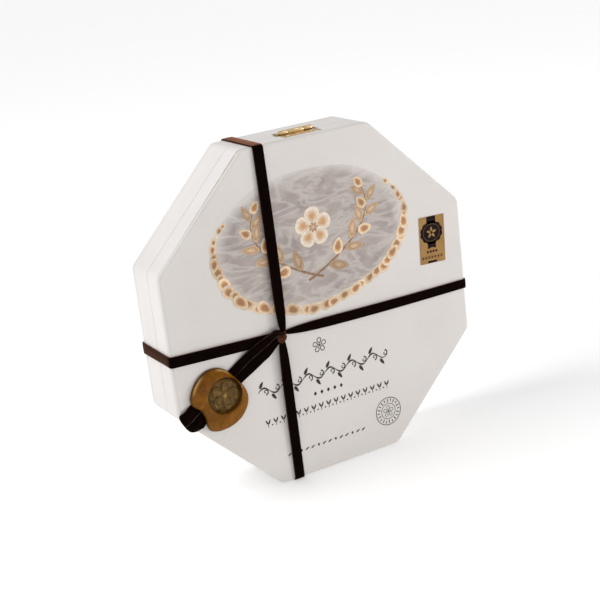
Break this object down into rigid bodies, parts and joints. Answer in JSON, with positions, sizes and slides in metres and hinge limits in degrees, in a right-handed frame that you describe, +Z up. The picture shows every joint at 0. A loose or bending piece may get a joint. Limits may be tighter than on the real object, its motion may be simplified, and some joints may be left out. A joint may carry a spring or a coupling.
{
  "type": "octagonal wooden gift case tied with ribbon",
  "caption": "Shut octagonal case of white lacquered boards with a small brass hinge, tied with crossed velvet ribbon whose tails are held by a wax seal.",
  "frame": {"origin": "bottom centre of the bounding box: the surface that the case stands on", "axes": "+Z up the octagon, -Y out of the front face of the lid, +X to the right seen from the front"},
  "size_m": [0.202, 0.0452, 0.2029],
  "materials": {
    "lacquered_wood": "warm white lacquer, satin, faint grain",
    "brass": "polished pressed brass",
    "velvet": "dark brown velvet, reddish sheen at a grazing angle",
    "sealing_wax": "ochre brown sealing wax, half gloss",
    "gold_foil": "gold foil on paper",
    "printed_ink": "flat print in grey, tan and near-black on the front board and the label"
  },
  "bodies": {
    "root": {"lid_panel": "lacquered_wood", "lid_body": "lacquered_wood", "base_body": "lacquered_wood", "base_panel": "lacquered_wood", "hinge_leaf_lid": "brass", "hinge_leaf_base": "brass", "hinge_pin": "brass", "hinge_nail_1": "brass", "hinge_nail_2": "brass", "hinge_nail_3": "brass", "hinge_nail_4": "brass", "ribbon_upright": "velvet", "ribbon_cross": "velvet", "ribbon_knot": "velvet", "ribbon_tail_upper": "velvet", "ribbon_tail_lower": "velvet", "wax_seal": "sealing_wax", "foil_label": "gold_foil"}
  },
  "joints": []
}
